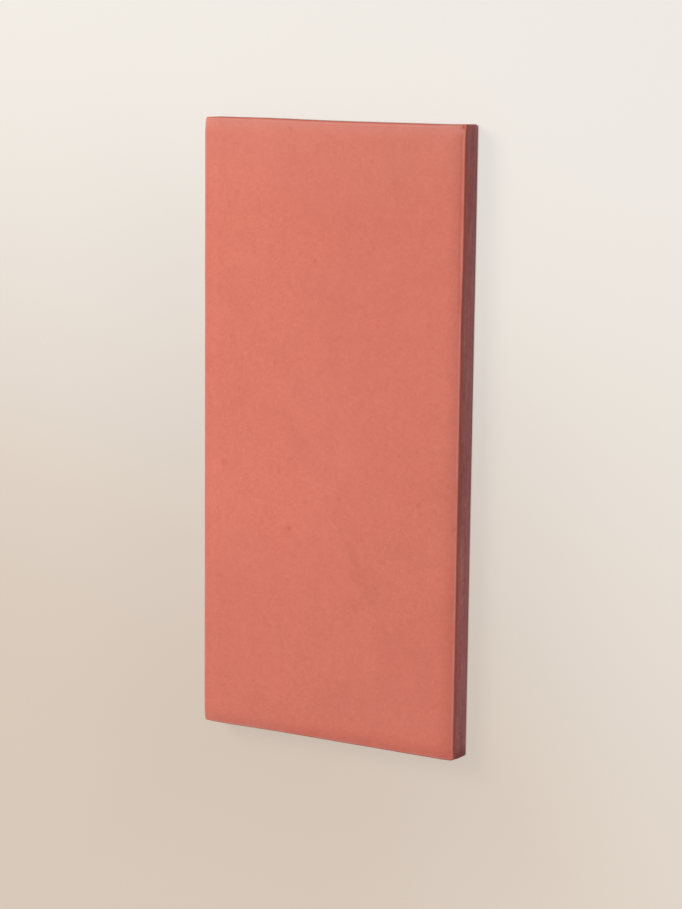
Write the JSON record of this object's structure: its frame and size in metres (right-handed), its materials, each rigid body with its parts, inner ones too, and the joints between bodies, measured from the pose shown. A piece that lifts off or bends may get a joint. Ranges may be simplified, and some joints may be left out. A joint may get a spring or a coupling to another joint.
{
  "type": "terracotta floor tile",
  "caption": "Oblong unglazed terracotta floor tile with a gently cushioned wearing face, soft arrises and a back keyed lengthwise for the bedding mortar.",
  "frame": {"origin": "middle of the plane that the tile rests and is bedded on", "axes": "+Y along the length, +X across the width, +Z out of the wearing face"},
  "size_m": [0.115, 0.24, 0.011],
  "materials": {
    "terracotta": "matte"
  },
  "bodies": {
    "root": {"terracotta_tile": "terracotta"}
  },
  "joints": []
}
